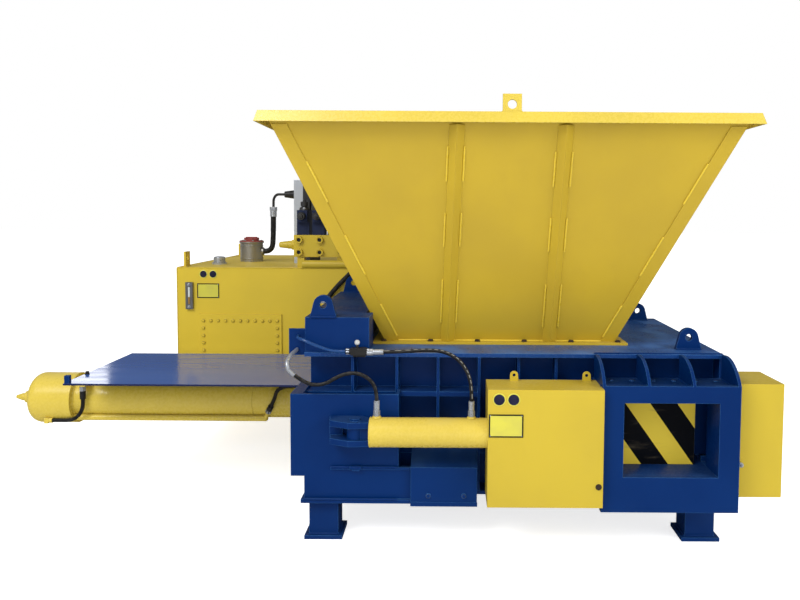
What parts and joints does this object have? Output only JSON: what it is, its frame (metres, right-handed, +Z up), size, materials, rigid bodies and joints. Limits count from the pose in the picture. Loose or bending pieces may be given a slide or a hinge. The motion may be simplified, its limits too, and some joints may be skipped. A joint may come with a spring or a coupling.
{
  "type": "recycling baler",
  "caption": "Two-ram scrap metal baler with a flared top hopper, a front bale window with a sliding gate, a long main cylinder and an oil tank with its power unit.",
  "frame": {"origin": "on the floor under the middle of the machine's box", "axes": "+X along the machine from the main cylinder's head to the bale window, +Y away from the operator's side, +Z up"},
  "size_m": [4.34, 3.273, 2.267],
  "materials": {
    "blue_paint": "gloss enamel",
    "yellow_paint": "gloss enamel",
    "worn_steel": "worn",
    "polished_rod": "polished",
    "zinc_plate": "zinc plated",
    "dark_bolts": "satin",
    "black_rubber": "matt",
    "grey_casting": "cast",
    "red_paint": "gloss",
    "cooler_grey": "satin",
    "dark_valves": "satin",
    "gauge_plate": "gloss",
    "motor_paint": "satin",
    "fan_plastic": "matt",
    "hazard_paint": "yellow and black bands"
  },
  "bodies": {
    "frame": {"base_frame": "blue_paint", "front_wall": "blue_paint", "rear_wall": "blue_paint", "end_wall": "blue_paint", "top_deck": "blue_paint", "chamber_roof": "blue_paint", "shear_blade": "worn_steel", "head_plate": "blue_paint", "top_tie_box": "blue_paint", "window_frame": "blue_paint", "lifting_lugs": "blue_paint", "main_cylinder_head": "yellow_paint", "main_cylinder_barrel": "yellow_paint", "main_cylinder_gland": "yellow_paint", "cross_cylinder_gland": "yellow_paint", "cross_cylinder_barrel": "yellow_paint", "gate_cylinder_barrel": "yellow_paint", "gate_cylinder_gland": "yellow_paint", "gate_bracket": "blue_paint", "gate_cylinder_eye": "blue_paint", "cooler_line": "black_rubber", "hopper_shell": "yellow_paint", "hopper_rim": "yellow_paint", "left_guard": "yellow_paint", "right_guard": "yellow_paint", "pipe_cover": "blue_paint", "oil_tank": "yellow_paint", "tank_hatch": "yellow_paint", "filler_breather": "zinc_plate", "return_filter": "grey_casting", "filter_cap": "red_paint", "solenoid_valves": "dark_valves", "pump_motor": "motor_paint", "hydraulic_pump": "dark_valves", "gate_hose_left": "black_rubber", "gate_hose_right": "black_rubber", "ram_hose_left": "black_rubber", "ram_hose_right": "black_rubber", "return_hose": "black_rubber", "pump_hose": "black_rubber", "gate_guides": "blue_paint", "support_legs": "blue_paint", "hopper_stiffeners": "yellow_paint", "cylinder_pipe": "yellow_paint", "steel_pipes": "blue_paint", "hose_fittings": "zinc_plate", "check_valve": "dark_valves", "valve_manifold": "yellow_paint", "oil_cooler": "cooler_grey", "level_gauge": "gauge_plate", "hex_bolts": "dark_bolts"},
    "main_ram": {"main_ram": "blue_paint", "ram_blade": "worn_steel", "tail_plate": "blue_paint", "main_piston_rod": "polished_rod"},
    "cross_ram": {"cross_ram": "blue_paint", "cross_piston_rod": "polished_rod"},
    "gate": {"gate_plate": "hazard_paint", "gate_rod": "polished_rod"},
    "fan": {"cooler_fan": "fan_plastic"}
  },
  "joints": [
    {"name": "main_ram_slide", "type": "slide", "parent": "frame", "child": "main_ram", "axis": [1, 0, 0], "range_m": [0, 1.2]},
    {"name": "cross_ram_slide", "type": "slide", "parent": "frame", "child": "cross_ram", "axis": [0, -1, 0], "range_m": [0, 1.02]},
    {"name": "gate_slide", "type": "slide", "parent": "frame", "child": "gate", "axis": [1, 0, 0], "range_m": [-0.42, 0.085]},
    {"name": "fan_spin", "type": "hinge", "parent": "frame", "child": "fan", "pos_m": [-0.617, 0.7595, 1.69], "axis": [1, 0, 0], "continuous": true}
  ]
}
